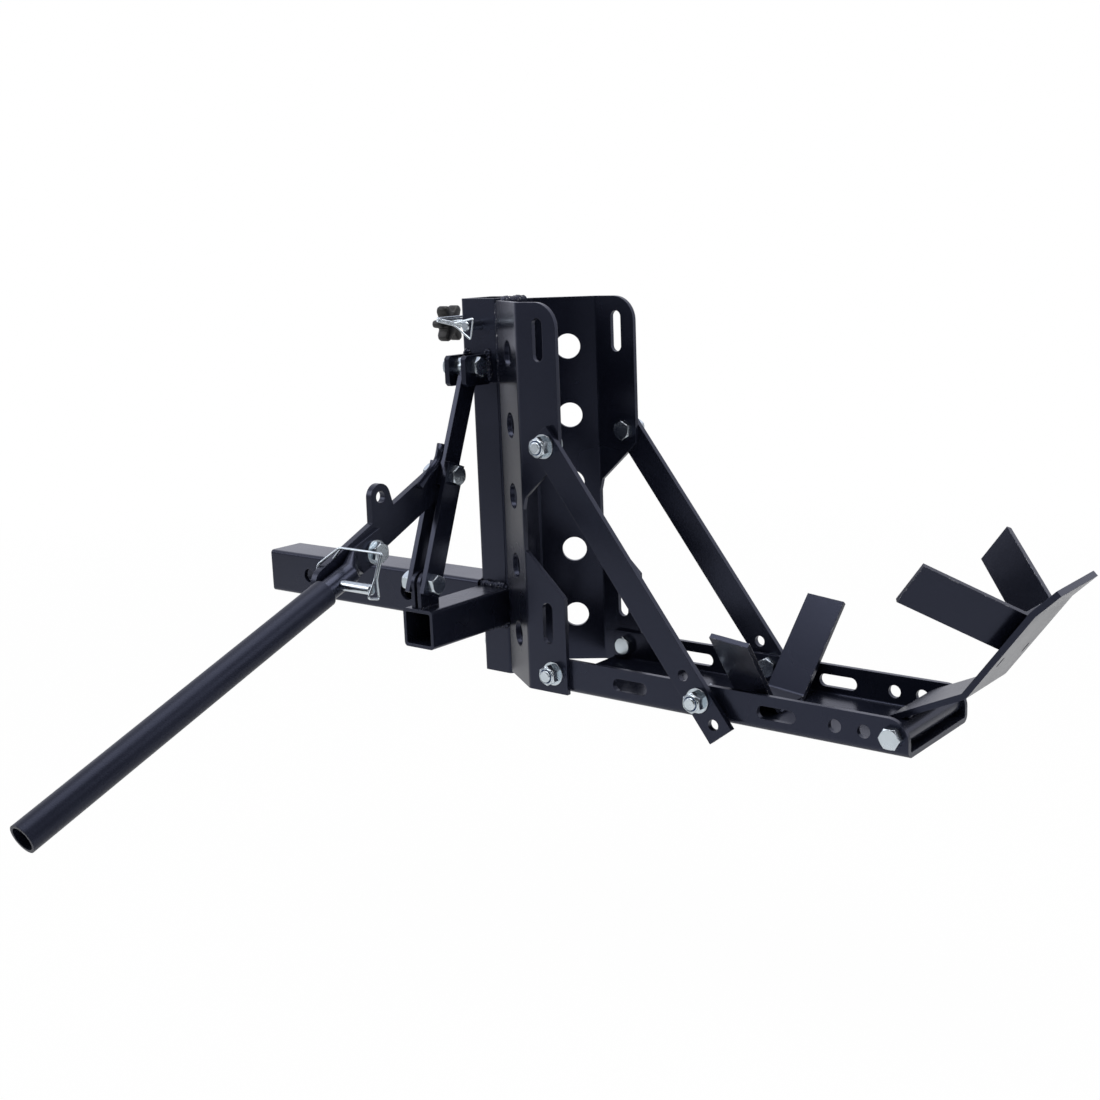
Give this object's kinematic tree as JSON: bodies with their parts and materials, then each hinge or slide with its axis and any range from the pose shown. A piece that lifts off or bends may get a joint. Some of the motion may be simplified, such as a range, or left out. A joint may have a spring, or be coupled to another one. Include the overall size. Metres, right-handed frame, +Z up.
{
  "type": "hitch motorcycle carrier",
  "caption": "Hitch-mounted carrier that holds a motorcycle wheel in a tilting V cradle and lifts it on a post with a lever and toggle links.",
  "frame": {"origin": "centre of the hitch pin hole in the receiver shank", "axes": "+X from the vehicle along the shank and the wheel channel, +Y along the hitch pin hole away from the lever, +Z up"},
  "size_m": [0.9661, 0.6958, 0.4086],
  "materials": {
    "black_coat": "satin bluish black powder coat",
    "zinc": "bright zinc plating",
    "knob_plastic": "moulded black plastic"
  },
  "bodies": {
    "mast": {"receiver_shank": "black_coat", "post": "black_coat", "side_arm": "black_coat", "link_bracket": "black_coat", "guide_bolt": "zinc", "guide_nut": "zinc", "low_pivot_bolt": "zinc", "low_pivot_nut": "zinc"},
    "carriage": {"sleeve": "black_coat", "clevis": "black_coat", "clevis_spacer": "zinc", "top_pivot_bolt": "zinc", "top_pivot_nut": "zinc", "clamp_nut": "black_coat", "upright": "black_coat", "wheel_channel": "black_coat", "braces": "black_coat", "brace_spacers": "zinc", "brace_bolts": "zinc", "brace_washers": "zinc", "brace_nuts": "zinc", "gusset_bolts": "zinc", "gusset_washers": "zinc", "gusset_nuts": "zinc", "fixed_chock": "black_coat", "cradle_bolt": "zinc", "cradle_nut": "zinc"},
    "cradle": {"cradle_plate": "black_coat", "cradle_tube": "black_coat", "cradle_chock": "black_coat"},
    "lever": {"lower_links": "black_coat", "mid_pivot_bolt": "zinc", "mid_pivot_nut": "zinc", "lever_plate": "black_coat", "lever_stop": "black_coat", "lever_socket": "black_coat", "lever_bolt": "zinc", "lever_nut": "zinc", "handle_tube": "black_coat"},
    "upper_link": {"upper_link": "black_coat"},
    "lever_lock_pin": {"lever_lock_pin": "zinc"},
    "lever_pin_bail": {"lever_pin_bail": "zinc"},
    "safety_pin": {"safety_pin": "zinc"},
    "safety_pin_bail": {"safety_pin_bail": "zinc"},
    "star_knob": {"star_knob": "knob_plastic", "clamp_screw": "zinc"}
  },
  "joints": [
    {"name": "carriage_slide", "type": "slide", "parent": "mast", "child": "carriage", "axis": [0, 0, -1], "range_m": [0, 0.055]},
    {"name": "lever_swing", "type": "hinge", "parent": "mast", "child": "lever", "pos_m": [0.2825, -0.124, 0.044], "axis": [1, 0, 0], "range_deg": [0, 32.7]},
    {"name": "upper_link_turn", "type": "hinge", "parent": "lever", "child": "upper_link", "pos_m": [0.2825, -0.085, 0.149], "axis": [1, 0, 0], "range_deg": [-77.4, 0]},
    {"name": "cradle_tilt", "type": "hinge", "parent": "carriage", "child": "cradle", "pos_m": [0.766, 0, -0.0495], "axis": [0, 1, 0], "range_deg": [-20, 45]},
    {"name": "lever_pin_slide", "type": "slide", "parent": "lever", "child": "lever_lock_pin", "axis": [-1, 0, 0], "range_m": [0, 0.068]},
    {"name": "lever_bail_swing", "type": "hinge", "parent": "lever_lock_pin", "child": "lever_pin_bail", "pos_m": [0.2736, -0.254, 0.0706], "axis": [0, -0.9703, 0.2419], "range_deg": [0, 150]},
    {"name": "safety_pin_slide", "type": "slide", "parent": "carriage", "child": "safety_pin", "axis": [0, 1, 0], "range_m": [0, 0.075]},
    {"name": "safety_bail_swing", "type": "hinge", "parent": "safety_pin", "child": "safety_pin_bail", "pos_m": [0.285, 0.0338, 0.296], "axis": [-0.9781, 0, 0.2079], "range_deg": [0, 150]},
    {"name": "star_knob_turn", "type": "hinge", "parent": "carriage", "child": "star_knob", "pos_m": [0.228, 0, 0.296], "axis": [1, 0, 0], "continuous": true}
  ],
  "couplings": [
    {"joint": "lever_swing", "follows": "carriage_slide", "rad_per_m": 10.341},
    {"joint": "upper_link_turn", "follows": "carriage_slide", "rad_per_m": -24.523},
    {"joint": "lever_bail_swing", "follows": "lever_pin_slide", "rad_per_m": 38.4},
    {"joint": "safety_bail_swing", "follows": "safety_pin_slide", "rad_per_m": 34.9}
  ]
}
